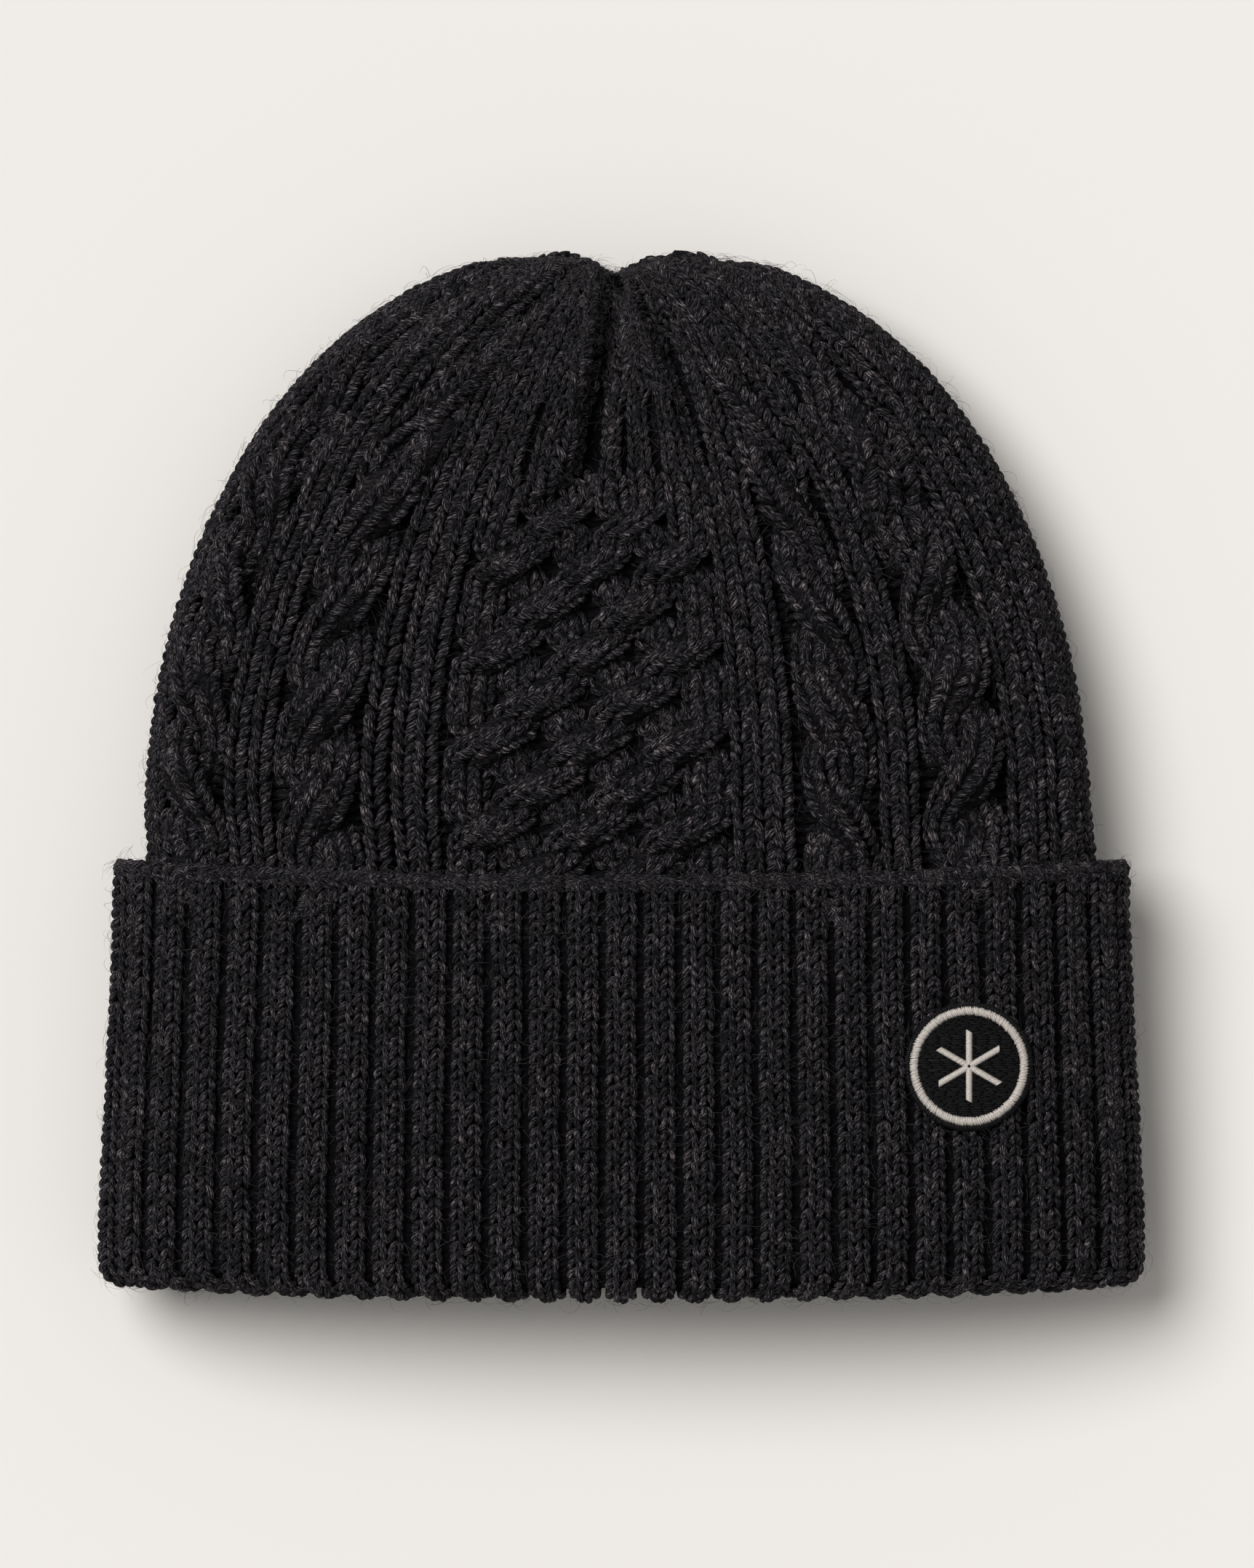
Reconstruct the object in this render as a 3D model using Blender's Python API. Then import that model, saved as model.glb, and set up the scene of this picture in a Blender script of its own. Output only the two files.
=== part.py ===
"""A cable-knit beanie with a turned-up ribbed cuff and a round sewn-on patch, lying flat on its back.

Metres, +Z up. +X runs across the hat, +Y from the mouth to the top of the crown, and the hat rests
on Z = 0. The origin is under the middle of the hat's box. Every knitted piece is a wall that goes all
round the flattened hat, so each is made by sweeping the outline of its wall section (depth below the
outer surface, place along the hat) round one flattened oval.
"""

import math

import bmesh
import bpy
from mathutils import Matrix, Vector

# Driving sizes of the whole hat
HAT_LENGTH = 0.222
CUFF_WIDTH = 0.220
CUFF_NARROWING = 0.0045  # how much narrower the cuff is at its upper edge
CUFF_HEIGHT = 0.0905
CUFF_THICKNESS = 0.044  # front to back, as it lies
MOUTH_THICKNESS = 0.040
CROWN_WIDTH = 0.2025
CROWN_PUFF = 0.006  # how much the crown fills out once it is clear of the cuff
EDGE_BOW = 0.0034  # the cuff's edges sag towards the mouth in the middle by this much
CUFF_LINE_RISE = 0.024  # length over which the crown's back settles from the cuff to the surface

# Fabric
RIB_WALL = 0.0046
CROWN_WALL = 0.0048
GAP = 0.0003
OVAL_POWER = 2.6
CROWN_POWER = 2.2
TIP_THICKNESS_POWER = 0.37
FLAT_BACK = 1.12  # the back is pressed flat: its curve is stretched by this and cut at the surface

# Cuff details
FOLD_RADIUS = 0.0046
FOLD_DEPTH = 0.0095
CAST_ON_HEIGHT = 0.0030
CROWN_TUCK = 0.012  # how far the crown reaches down behind the cuff
TIP_HOLE_ANGLE = math.radians(87.6)

# Closing yarn
CLOSING_RING = 0.0031
CLOSING_YARN = 0.0013

# Back seam, on the inside
SEAM_WIDTH = 0.0030
SEAM_HEIGHT = 0.0011

# Patch
PATCH_X = 0.0730
PATCH_Y = -0.0609
PATCH_RADIUS = 0.0132
BORDER_WIDTH = 0.0023
BACKING_THICKNESS = 0.0006
TWILL_THICKNESS = 0.0007
BORDER_HEIGHT = 0.0010
MOTIF_RADIUS = 0.0072
MOTIF_ARM_WIDTH = 0.0013
MOTIF_HEIGHT = 0.0006
PATCH_THREAD = 0.00035

# Care label
LABEL_WIDTH = 0.022
LABEL_LENGTH = 0.038
LABEL_THICKNESS = 0.0007
LABEL_X = 0.020
LABEL_HINGE_Y = -0.060
LABEL_LIFT = 0.0006  # clear space under the label
STITCH_BAR = 0.0010

AROUND = 48  # steps round the oval
CROWN_STATIONS = 15
SEAM_STATIONS = 9  # the seam runs up the crown this far

MOUTH_Y = -HAT_LENGTH / 2
TIP_Y = HAT_LENGTH / 2
CUFF_TOP_Y = MOUTH_Y + CUFF_HEIGHT
CROWN_LENGTH = TIP_Y - CUFF_TOP_Y


def clear_scene():
    for thing in list(bpy.data.objects):
        bpy.data.objects.remove(thing, do_unlink=True)


def material(name, colour, roughness):
    made = bpy.data.materials.new(name)
    made.use_nodes = True
    shader = made.node_tree.nodes["Principled BSDF"]
    shader.inputs["Base Color"].default_value = (*colour, 1.0)
    shader.inputs["Roughness"].default_value = roughness
    shader.inputs["Metallic"].default_value = 0.0
    return made


def add_object(name, bm, finish, smooth=True):
    bmesh.ops.recalc_face_normals(bm, faces=bm.faces)
    mesh = bpy.data.meshes.new(name)
    bm.to_mesh(mesh)
    bm.free()
    if smooth:
        mesh.shade_smooth()
        mesh.set_sharp_from_angle(angle=math.radians(40))
    mesh.materials.append(finish)
    thing = bpy.data.objects.new(name, mesh)
    bpy.context.collection.objects.link(thing)
    return thing


def signed_power(value, power):
    return math.copysign(abs(value) ** power, value)


def smooth_step(value):
    value = min(max(value, 0.0), 1.0)
    return value * value * (3 - 2 * value)


def oval_point(angle, half_width, low, high):
    """A point (x, z) on the flattened oval: domed front, back pressed flat."""
    middle = (low + high) / 2
    half_height = (high - low) / 2
    x = half_width * signed_power(math.cos(angle), 2 / OVAL_POWER)
    rise = half_height * signed_power(math.sin(angle), 2 / OVAL_POWER)
    if rise < 0:
        rise = max(rise * FLAT_BACK, -half_height)
    return x, middle + rise


def cuff_station(y):
    """Half width, lowest and highest point of the cuff's outer surface at one place along the hat."""
    along = (y - MOUTH_Y) / CUFF_HEIGHT
    half_width = CUFF_WIDTH / 2 - CUFF_NARROWING / 2 * smooth_step(along)
    filling = math.sin(math.pi * min(max(along, 0.0), 1.0) / 2) ** 0.5
    return half_width, 0.0, MOUTH_THICKNESS + (CUFF_THICKNESS - MOUTH_THICKNESS) * filling


def crown_station(angle):
    """Place along the hat, half width, lowest and highest point of the crown; angle 0 is at the cuff."""
    y = CUFF_TOP_Y + CROWN_LENGTH * math.sin(angle) ** (2 / CROWN_POWER)
    half_width = CROWN_WIDTH / 2 * math.cos(angle) ** (2 / CROWN_POWER)
    clear = smooth_step((y - CUFF_TOP_Y) / CUFF_LINE_RISE)
    in_cuff = CUFF_THICKNESS - 2 * (RIB_WALL + GAP)
    thickness = (in_cuff + CROWN_PUFF * clear) * math.cos(angle) ** TIP_THICKNESS_POWER
    low = (RIB_WALL + GAP) * (1 - clear)
    high = low + thickness
    return y, half_width, low, high


def bowed(x, y):
    """The cuff's edges bow: their middle lies nearer the mouth than their ends."""
    share = smooth_step((CUFF_TOP_Y + CROWN_LENGTH / 2 - y) / (CROWN_LENGTH / 2))
    return y + share * EDGE_BOW * (2 * x / CUFF_WIDTH) ** 2


def swept_wall(outline):
    """Sweeps a closed outline round the hat. Each outline entry gives y, half width, low and high."""
    bm = bmesh.new()
    rings = []
    for y, half_width, low, high in outline:
        ring = []
        for step in range(AROUND):
            x, z = oval_point(2 * math.pi * step / AROUND, half_width, low, high)
            ring.append(bm.verts.new((x, bowed(x, y), z)))
        rings.append(ring)
    for ring, following in zip(rings, rings[1:] + rings[:1]):
        for step in range(AROUND):
            after = (step + 1) % AROUND
            bm.faces.new((ring[step], ring[after], following[after], following[step]))
    return bm


def cuff_wall_point(y, depth):
    half_width, low, high = cuff_station(y)
    return y, half_width - depth, low + depth, high - depth


def crown_wall_point(angle, depth):
    """A point of the crown's wall; the inside of the wall also stops short of the tip."""
    y, half_width, low, high = crown_station(angle)
    return y - depth * math.sin(angle), half_width - depth * math.cos(angle), low + depth, high - depth


def steps(first, last, count):
    return [first + (last - first) * step / (count - 1) for step in range(count)]


def crown_angles():
    """The crown's stations from the cuff to the tip, closer together near the cuff."""
    last = CROWN_STATIONS - 1
    return [TIP_HOLE_ANGLE * (step / last) ** 1.15 for step in range(CROWN_STATIONS)]


def make_turned_cuff(finish):
    """The outer layer of the rib and the fold at the mouth, where it turns up from the inner layer."""
    top = CUFF_TOP_Y - CAST_ON_HEIGHT - GAP
    outline = [cuff_wall_point(y, 0.0) for y in steps(top, MOUTH_Y + FOLD_RADIUS, 6)]
    for turn in steps(0.0, math.pi, 7)[1:-1]:
        depth = FOLD_DEPTH / 2 * (1 - math.cos(turn))
        y = MOUTH_Y + FOLD_RADIUS * (1 - math.sin(turn))
        outline.append(cuff_wall_point(y, depth))
    lip = MOUTH_Y + 2 * FOLD_RADIUS
    outline.append(cuff_wall_point(MOUTH_Y + FOLD_RADIUS, FOLD_DEPTH))
    outline.append(cuff_wall_point(lip, FOLD_DEPTH))
    outline.append(cuff_wall_point(lip, RIB_WALL))
    outline += [cuff_wall_point(y, RIB_WALL) for y in steps(lip, top, 5)[1:]]
    return add_object("turned_cuff", swept_wall(outline), finish)


def make_cast_on_edge(finish):
    """The firm cast-on row that borders the cuff's upper edge."""
    low_y = CUFF_TOP_Y - CAST_ON_HEIGHT
    outline = [
        cuff_wall_point(low_y, 0.0),
        cuff_wall_point(CUFF_TOP_Y - CAST_ON_HEIGHT / 3, 0.0),
        cuff_wall_point(CUFF_TOP_Y, RIB_WALL / 4),
        cuff_wall_point(CUFF_TOP_Y, RIB_WALL * 3 / 4),
        cuff_wall_point(CUFF_TOP_Y - CAST_ON_HEIGHT / 3, RIB_WALL),
        cuff_wall_point(low_y, RIB_WALL),
    ]
    return add_object("cast_on_edge", swept_wall(outline), finish)


def make_inner_band(finish):
    """The inner layer of the rib, next to the head."""
    low_y = MOUTH_Y + 2 * FOLD_RADIUS + GAP
    high_y = CUFF_TOP_Y - CROWN_TUCK - GAP
    outer = RIB_WALL + GAP
    outline = [cuff_wall_point(y, outer) for y in steps(high_y, low_y, 4)]
    outline += [cuff_wall_point(y, FOLD_DEPTH) for y in steps(low_y, high_y, 4)]
    return add_object("inner_band", swept_wall(outline), finish)


def make_crown_shell(finish):
    """The cabled crown, from its tuck behind the cuff to the drawn-up hole at the tip."""
    tuck_y = CUFF_TOP_Y - CROWN_TUCK
    outer_depth = RIB_WALL + GAP
    inner_depth = outer_depth + CROWN_WALL
    angles = crown_angles()
    outline = [cuff_wall_point(y, outer_depth) for y in (tuck_y, CUFF_TOP_Y - CROWN_TUCK / 2)]
    outline += [crown_wall_point(angle, 0.0) for angle in angles]
    outline += [crown_wall_point(angle, CROWN_WALL) for angle in reversed(angles[:-2])]
    outline += [cuff_wall_point(y, inner_depth) for y in (CUFF_TOP_Y - CROWN_TUCK / 2, tuck_y)]
    return add_object("crown_shell", swept_wall(outline), finish)


def make_closing_yarn(finish):
    """The yarn that draws the last row together: a tight ring in the hole at the crown's tip."""
    y, _, low, high = crown_station(TIP_HOLE_ANGLE)
    bm = bmesh.new()
    around, across = 20, 8
    rings = []
    for step in range(around):
        turn = 2 * math.pi * step / around
        ring = []
        for part in range(across):
            bend = 2 * math.pi * part / across
            reach = CLOSING_RING + CLOSING_YARN * math.cos(bend)
            x = reach * math.cos(turn)
            z = reach * math.sin(turn) + (low + high) / 2
            ring.append(bm.verts.new((x, y + CLOSING_YARN * (math.sin(bend) - 1.0), z)))
        rings.append(ring)
    for ring, following in zip(rings, rings[1:] + rings[:1]):
        for part in range(across):
            after = (part + 1) % across
            bm.faces.new((ring[part], ring[after], following[after], following[part]))
    return add_object("closing_yarn", bm, finish)


def strip(path, width, height, finish, name):
    """A low ridge of the given width on a path of (y, z) places, at x = 0."""
    bm = bmesh.new()
    sections = []
    for y, z in path:
        corners = ((-width / 2, 0.0), (width / 2, 0.0), (width / 4, height), (-width / 4, height))
        sections.append([bm.verts.new((x, bowed(x, y), z + rise)) for x, rise in corners])
    for section, following in zip(sections, sections[1:]):
        for corner in range(4):
            after = (corner + 1) % 4
            bm.faces.new((section[corner], section[after], following[after], following[corner]))
    bm.faces.new(sections[0])
    bm.faces.new(list(reversed(sections[-1])))
    return add_object(name, bm, finish, smooth=False)


def make_back_seam(finish):
    """The seam that joins the panel's two sides, a ridge on the inside of the back."""
    path = []
    for y in steps(MOUTH_Y + 3 * FOLD_RADIUS, CUFF_TOP_Y - CROWN_TUCK / 2, 5):
        path.append((y, FOLD_DEPTH + 2 * GAP))
    for angle in crown_angles()[:SEAM_STATIONS]:
        y, _, inside, _ = crown_wall_point(angle, CROWN_WALL)
        path.append((y, inside + 2 * GAP))
    return strip(path, SEAM_WIDTH, SEAM_HEIGHT, finish, "back_seam")


def cuff_surface(x, y):
    """Height of the cuff's front at (x, y)."""
    half_width, low, high = cuff_station(y)
    rise = (1 - abs(x / half_width) ** OVAL_POWER) ** (1 / OVAL_POWER)
    return (low + high) / 2 + (high - low) / 2 * rise


def patch_frame():
    """Where the patch lies: a matrix whose Z is the cuff's outward normal there."""
    reach = 0.004
    slope = (cuff_surface(PATCH_X + reach, PATCH_Y) - cuff_surface(PATCH_X - reach, PATCH_Y)) / (2 * reach)
    tilt = Matrix.Rotation(math.atan2(-slope, 1.0), 4, "Y")
    normal = (tilt @ Vector((0, 0, 1, 0))).to_3d()
    seat = Vector((PATCH_X, PATCH_Y, cuff_surface(PATCH_X, PATCH_Y))) + normal * 2 * GAP
    return Matrix.Translation(seat) @ tilt


def disc(name, radius, low, high, frame, finish):
    bm = bmesh.new()
    bmesh.ops.create_cone(
        bm, cap_ends=True, segments=40, radius1=radius, radius2=radius, depth=high - low
    )
    bmesh.ops.translate(bm, verts=bm.verts, vec=(0, 0, (low + high) / 2))
    bmesh.ops.transform(bm, matrix=frame, verts=bm.verts)
    return add_object(name, bm, finish)


def turned_ring(name, profile, frame, finish, segments=40):
    """A ring turned from a closed profile of (radius, height) points."""
    bm = bmesh.new()
    rings = []
    for step in range(segments):
        turn = 2 * math.pi * step / segments
        rings.append([bm.verts.new((r * math.cos(turn), r * math.sin(turn), h)) for r, h in profile])
    for ring, following in zip(rings, rings[1:] + rings[:1]):
        for corner in range(len(profile)):
            after = (corner + 1) % len(profile)
            bm.faces.new((ring[corner], ring[after], following[after], following[corner]))
    bmesh.ops.transform(bm, matrix=frame, verts=bm.verts)
    return add_object(name, bm, finish)


def make_patch(materials):
    frame = patch_frame()
    backing_top = BACKING_THICKNESS
    twill_low = backing_top + GAP / 2
    twill_top = twill_low + TWILL_THICKNESS
    inner = PATCH_RADIUS - BORDER_WIDTH
    disc("patch_backing", inner - 0.0006, 0.0, backing_top, frame, materials["backing"])
    disc("patch_twill", inner - GAP, twill_low, twill_top, frame, materials["twill"])
    border_top = twill_top + BORDER_HEIGHT / 2
    shoulder = BORDER_WIDTH / 4
    border = [
        (inner, 0.0),
        (PATCH_RADIUS, 0.0),
        (PATCH_RADIUS, border_top - BORDER_HEIGHT / 2),
        (PATCH_RADIUS - shoulder, border_top),
        (inner + shoulder, border_top),
        (inner, border_top - BORDER_HEIGHT / 2),
    ]
    turned_ring("patch_border", border, frame, materials["embroidery"])
    thread_radius = PATCH_RADIUS + GAP + PATCH_THREAD
    thread = [
        (thread_radius + PATCH_THREAD * math.cos(a), PATCH_THREAD * (1 + math.sin(a)))
        for a in steps(0.0, 2 * math.pi, 7)[:-1]
    ]
    turned_ring("patch_thread", thread, frame, materials["thread"])
    make_motif(twill_top + GAP / 2, frame, materials["embroidery"])


def make_motif(base, frame, finish):
    """A six-armed star of raised stitches, cut from one sheet."""
    bm = bmesh.new()
    arms = 6
    outline = []
    waist = MOTIF_ARM_WIDTH / 2 / math.sin(math.pi / arms)
    for arm in range(arms):
        turn = 2 * math.pi * arm / arms + math.pi / 2
        along = Vector((math.cos(turn), math.sin(turn), 0))
        side = Vector((-along.y, along.x, 0)) * MOTIF_ARM_WIDTH / 2
        outline.append(along * MOTIF_RADIUS - side)
        outline.append(along * MOTIF_RADIUS + side)
        between = turn + math.pi / arms
        outline.append(Vector((math.cos(between), math.sin(between), 0)) * waist)
    lower = [bm.verts.new(point + Vector((0, 0, base))) for point in outline]
    sheet = bm.faces.new(lower)
    raised = bmesh.ops.extrude_face_region(bm, geom=[sheet], use_keep_orig=True)
    top = [item for item in raised["geom"] if isinstance(item, bmesh.types.BMVert)]
    bmesh.ops.translate(bm, verts=top, vec=(0, 0, MOTIF_HEIGHT))
    bmesh.ops.triangulate(bm, faces=[face for face in bm.faces if len(face.verts) > 4])
    bmesh.ops.transform(bm, matrix=frame, verts=bm.verts)
    return add_object("patch_motif", bm, finish, smooth=False)


def box_object(name, size, centre, finish, origin):
    bm = bmesh.new()
    bmesh.ops.create_cube(bm, size=1.0)
    bmesh.ops.scale(bm, verts=bm.verts, vec=size)
    bmesh.ops.bevel(
        bm, geom=bm.edges, offset=min(size) * 0.2, segments=1, affect="EDGES", profile=0.5
    )
    bmesh.ops.translate(bm, verts=bm.verts, vec=Vector(centre) - Vector(origin))
    thing = add_object(name, bm, finish, smooth=False)
    thing.location = origin
    return thing


def make_care_label(label_finish, thread_finish):
    """A blank folded label on the inside of the back, sewn along its upper edge, where it hinges."""
    lowest = FOLD_DEPTH + LABEL_LIFT
    middle_z = lowest + LABEL_THICKNESS / 2
    hinge = (LABEL_X, LABEL_HINGE_Y, middle_z)
    centre = (LABEL_X, LABEL_HINGE_Y - LABEL_LENGTH / 2, middle_z)
    box_object(
        "care_label", (LABEL_WIDTH, LABEL_LENGTH, LABEL_THICKNESS), centre, label_finish, hinge
    )
    bar = (LABEL_X, LABEL_HINGE_Y + GAP * 2 + STITCH_BAR / 2, FOLD_DEPTH + GAP + STITCH_BAR / 2)
    box_object("label_stitches", (LABEL_WIDTH, STITCH_BAR, STITCH_BAR), bar, thread_finish, bar)


def main():
    clear_scene()
    yarn = material("charcoal_yarn", (0.012, 0.010, 0.013), 0.95)
    materials = {
        "backing": material("patch_backing_sheet", (0.02, 0.02, 0.022), 0.8),
        "twill": material("patch_twill", (0.006, 0.005, 0.006), 0.8),
        "embroidery": material("embroidery_thread", (0.60, 0.53, 0.49), 0.5),
        "thread": material("sewing_thread", (0.008, 0.007, 0.009), 0.6),
        "label": material("label_satin", (0.78, 0.77, 0.74), 0.45),
    }
    make_crown_shell(yarn)
    make_closing_yarn(yarn)
    make_inner_band(yarn)
    make_turned_cuff(yarn)
    make_cast_on_edge(yarn)
    make_back_seam(yarn)
    make_patch(materials)
    make_care_label(materials["label"], materials["thread"])


main()
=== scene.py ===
import math

import bpy
import numpy as np
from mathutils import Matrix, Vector


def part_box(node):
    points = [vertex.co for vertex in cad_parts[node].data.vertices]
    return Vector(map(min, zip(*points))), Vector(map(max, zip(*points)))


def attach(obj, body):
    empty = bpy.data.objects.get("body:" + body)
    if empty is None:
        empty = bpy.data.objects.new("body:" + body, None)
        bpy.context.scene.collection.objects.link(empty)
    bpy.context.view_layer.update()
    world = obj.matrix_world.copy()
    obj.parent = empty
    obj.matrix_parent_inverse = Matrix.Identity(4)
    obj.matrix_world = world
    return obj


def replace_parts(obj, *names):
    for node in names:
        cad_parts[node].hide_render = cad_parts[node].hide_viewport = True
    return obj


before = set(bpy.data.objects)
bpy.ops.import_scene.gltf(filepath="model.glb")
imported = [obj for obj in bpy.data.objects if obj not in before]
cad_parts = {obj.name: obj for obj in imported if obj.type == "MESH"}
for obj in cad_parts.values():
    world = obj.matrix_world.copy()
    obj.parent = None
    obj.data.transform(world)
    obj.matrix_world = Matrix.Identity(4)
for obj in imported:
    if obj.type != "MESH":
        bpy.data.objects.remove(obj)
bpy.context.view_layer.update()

MM = 0.001

# The hat lies flat: x across it, y up from its mouth, z up from the table
CUFF_LOW, CUFF_HIGH = np.array(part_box("turned_cuff"))
EDGE_HIGH = np.array(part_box("cast_on_edge")[1])

EDGE_BOW = 3.4 * MM  # how far the mouth's corners lie above its middle
RIB_WALL = 4.6 * MM
FOLD_DEPTH = 9.5 * MM  # thickness of the cuff, turned up on the band inside it
CROWN_WALL = 4.8 * MM
IN_CUFF = RIB_WALL + 0.3 * MM  # depth of the crown's outside where it is inside the cuff
OVAL_POWER = 2.6
CROWN_POWER = 2.2
TIP_THICKNESS_POWER = 0.37
FLAT_BACK = 1.12
CROWN_PUFF = 6 * MM
CUFF_LINE_RISE = 24 * MM
CUFF_NARROWING = 6.6 * MM
CUFF_HEIGHT = 90.5 * MM
CROWN_HALF_WIDTH = 100.8 * MM

MOUTH_Y = CUFF_LOW[1]
CUFF_HALF_WIDTH = CUFF_HIGH[0] + 1.0 * MM  # the fuzz stands out past the solid
CUFF_THICKNESS = EDGE_HIGH[2]
MOUTH_THICKNESS = 40 * MM
CUFF_TOP_Y = MOUTH_Y + CUFF_HEIGHT
TIP_Y = 109.9 * MM
FLAT_TOP = 4.6 * MM  # how much of the arch is cut off
TOP_ROUNDING = 0.8 * MM
DIMPLE = 4.2 * MM
NOTCH = 3.0 * MM  # how far the outline dips where the top is gathered
NOTCH_WIDTH = 7 * MM
CROWN_LENGTH = TIP_Y - CUFF_TOP_Y

ROW = 2.27 * MM  # height of a row of stitches
WALE = 3.6 * MM
YARN = 0.78 * MM  # radius of the plied yarn

rng = np.random.default_rng(7)


# ---- the surfaces that the knitting follows

def smooth_step(value):
    value = np.clip(value, 0.0, 1.0)
    return value * value * (3 - 2 * value)


def unit(vectors):
    return vectors / np.maximum(np.linalg.norm(vectors, axis=-1, keepdims=True), 1e-12)


def travelled(points):
    """Length along a line, at each of its points."""
    return np.concatenate([[0], np.cumsum(np.linalg.norm(np.diff(points, axis=0), axis=1))])


def bowed(x, y):
    share = smooth_step((CUFF_TOP_Y + CROWN_LENGTH / 2 - y) / (CROWN_LENGTH / 2))
    return y + share * EDGE_BOW * (x / CUFF_HALF_WIDTH) ** 2


def oval(half_width, low, high, turn):
    """x, z and length along a flattened oval."""
    x = half_width * np.sign(np.sin(turn)) * np.abs(np.sin(turn)) ** (2 / OVAL_POWER)
    rise = (high - low) / 2 * np.sign(np.cos(turn)) * np.abs(np.cos(turn)) ** (2 / OVAL_POWER)
    rise = np.where(rise < 0, np.maximum(rise * FLAT_BACK, -(high - low) / 2), rise)
    z = (low + high) / 2 + rise
    return x, z, travelled(np.stack([x, z], -1))


def oval_ring(y, half_width, low, high, around):
    """Points of one oval at the given places around: 0 front middle, +-0.5 sides, 1 back."""
    x, z, length = oval(half_width, low, high, np.linspace(0, 2 * np.pi, 721))
    share = np.mod(around / 2, 1.0) * length[-1]
    px = np.interp(share, length, x)
    return np.stack([px, bowed(px, np.full_like(px, y)), np.interp(share, length, z)], -1)


def cuff_station(y):
    along = np.clip((y - MOUTH_Y) / CUFF_HEIGHT, 0, 1)
    half_width = CUFF_HALF_WIDTH - CUFF_NARROWING / 2 * smooth_step(along)
    filling = math.sin(math.pi * along / 2) ** 0.5
    return half_width, 0.0, MOUTH_THICKNESS + (CUFF_THICKNESS - MOUTH_THICKNESS) * filling


def crown_station(angle):
    """The crown's cross section: its arch is cut flat along the top, with a dimple where it is gathered."""
    reach = (CROWN_LENGTH + FLAT_TOP) * math.sin(angle) ** (2 / CROWN_POWER)
    cut = TOP_ROUNDING * math.log1p(math.exp((CROWN_LENGTH - reach) / TOP_ROUNDING))
    y = CUFF_TOP_Y + CROWN_LENGTH - cut
    half_width = CROWN_HALF_WIDTH * math.cos(angle) ** (2 / CROWN_POWER)
    y -= DIMPLE * float(smooth_step(1 - half_width / (0.16 * CROWN_HALF_WIDTH)))
    clear = float(smooth_step((y - CUFF_TOP_Y) / CUFF_LINE_RISE))
    at_cuff = CUFF_THICKNESS - 2 * IN_CUFF
    thickness = (at_cuff + CROWN_PUFF * clear) * math.cos(angle) ** TIP_THICKNESS_POWER
    low = IN_CUFF * (1 - clear)
    return y, half_width, low, low + thickness


def cuff_ring(y, depth):
    """The cuff's ring at one height, some way under its outside."""
    half, low, high = cuff_station(y)
    return oval_ring(y, half - depth, low + depth, high - depth, AROUND)


class Sheet:
    """A knitted surface as a grid of points: rows run around the hat, columns along its wales."""

    def __init__(self, rings, facing):
        self.points = np.array(rings)
        self.facing = facing
        self.count_along, self.count_around = self.points.shape[:2]
        self.find_normals()

    def find_normals(self):
        points = self.points
        along = np.gradient(points, axis=0)
        around = np.roll(points, -1, axis=1) - np.roll(points, 1, axis=1)
        self.normals = unit(np.cross(around, along)) * self.facing

    def places(self, along, around):
        """Points and normals at rows of the grid and places around."""
        return self.at(along, around, self.points), unit(self.at(along, around, self.normals))

    def at(self, along, around, what):
        """Bilinear reading: along in rows of the grid, around from -1 to 1."""
        row = np.clip(along, 0, self.count_along - 1.0001)
        column = np.mod((around + 1) / 2, 1.0) * self.count_around
        r0 = row.astype(int)
        c0 = column.astype(int) % self.count_around
        c1 = (c0 + 1) % self.count_around
        fr = (row - r0)[..., None]
        fc = (column - np.floor(column))[..., None]
        top = what[r0, c0] * (1 - fc) + what[r0, c1] * fc
        bottom = what[r0 + 1, c0] * (1 - fc) + what[r0 + 1, c1] * fc
        return top * (1 - fr) + bottom * fr


AROUND = np.linspace(-1, 1, 960, endpoint=False)  # the places around of a sheet's columns
EDGE_RADIUS = 1.9 * MM  # the cuff's top edge is rounded by this
BAND_TOP_Y = MOUTH_Y + 81 * MM
RING_STEP = 0.8 * MM


def cuff_profile():
    """Height and depth of each ring: over the top edge, down, round the fold and up the inside."""
    fold = FOLD_DEPTH / 2
    for turn in np.linspace(-math.pi, 0, 13)[:-1]:
        yield CUFF_TOP_Y - EDGE_RADIUS * (1 - abs(math.sin(turn))), EDGE_RADIUS * (1 - math.cos(turn))
    for y in np.arange(CUFF_TOP_Y - EDGE_RADIUS, MOUTH_Y + fold, -RING_STEP):
        yield y, 0.0
    for turn in np.linspace(0, math.pi, 19)[1:]:
        yield MOUTH_Y + fold * (1 - math.sin(turn)), fold * (1 - math.cos(turn))
    for y in np.arange(MOUTH_Y + fold + RING_STEP, BAND_TOP_Y, RING_STEP):
        yield y, FOLD_DEPTH


def gathered(around, pull):
    """Draws places around towards the middle of the front and of the back as the crown narrows."""
    front = np.abs(around) <= 0.5
    side = np.where(around < 0, -1.0, 1.0)
    share = np.where(front, np.abs(around) * 2, (1 - np.abs(around)) * 2)
    share = share * (1 - pull) + share ** 3 * pull
    return side * np.where(front, share / 2, 1 - share / 2)


GATHER = 0.6375  # how strongly the wales are drawn to the middle at the tip
TUCK = 12 * MM  # how far the crown reaches down into the cuff
TUCK_ROWS = 10
CROWN_ROWS = 190
LAST_ANGLE = math.radians(87.6)
PUCKER = (0.86, 0.72, 0.58, 0.44, 0.32, 0.2, 0.05)  # rings drawn together inside the gathered tip
PUCKER_DEPTH = 1.2 * MM
CROWN_SHIFT = -0.9 * MM  # the crown lies a little to the left of the cuff's middle

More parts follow.
